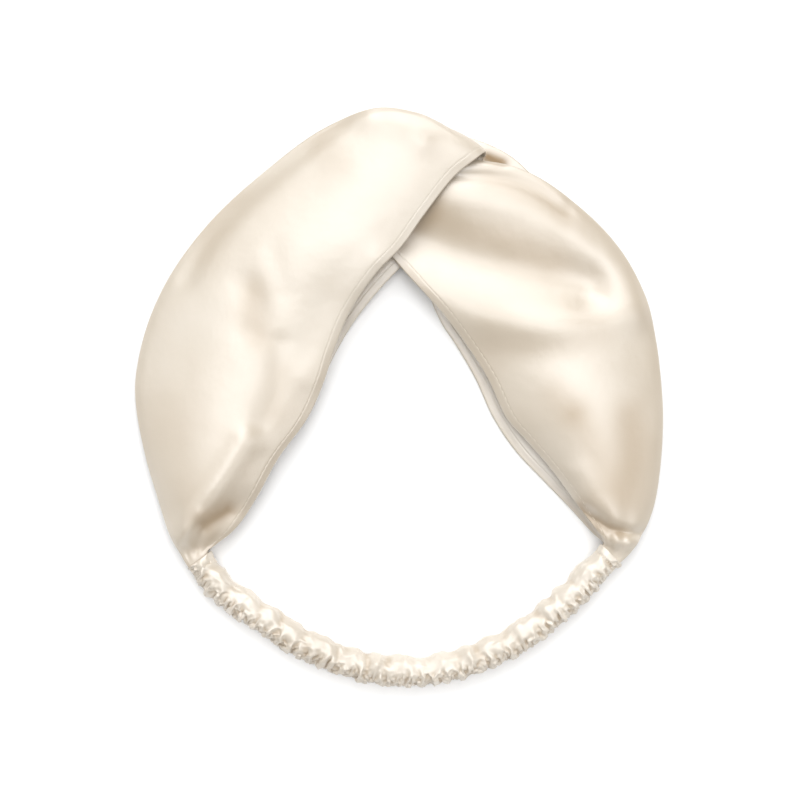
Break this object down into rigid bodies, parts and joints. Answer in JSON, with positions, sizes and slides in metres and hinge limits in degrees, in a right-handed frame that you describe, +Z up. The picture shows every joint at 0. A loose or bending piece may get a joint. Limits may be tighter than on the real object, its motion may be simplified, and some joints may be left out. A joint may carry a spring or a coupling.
{
  "type": "knotted headband",
  "caption": "Satin headband with a front knot of interlocked flat bands and a ruched elastic casing at the back, lying flat.",
  "frame": {"origin": "centre of the bounding box in plan, on the table that the headband lies on", "axes": "+X towards the right-hand join, +Y towards the knot, +Z up off the table towards the viewer"},
  "size_m": [0.1909, 0.208, 0.0174],
  "materials": {
    "satin": "champagne satin weave with a soft gloss",
    "sewing_thread": "spun polyester thread",
    "woven_elastic": "ribbed woven elastic"
  },
  "bodies": {
    "left_side": {"left_band": "satin", "left_band_seam_thread": "sewing_thread", "left_join_thread": "sewing_thread", "left_gather_thread": "sewing_thread", "elastic_casing": "satin", "casing_seam_thread": "sewing_thread", "elastic_strap": "woven_elastic"},
    "right_side": {"right_band": "satin", "right_band_seam_thread": "sewing_thread", "right_join_thread": "sewing_thread", "right_gather_thread": "sewing_thread"}
  },
  "joints": [
    {"name": "ring_opening", "type": "hinge", "parent": "left_side", "child": "right_side", "pos_m": [0.01, 0.078, 0.0065], "axis": [0, 0, 1], "range_deg": [0, 20], "stiffness_Nm_per_rad": 2.5, "deforming": ["elastic_casing", "elastic_strap", "casing_seam_thread", "right_band", "right_band_seam_thread"]}
  ]
}
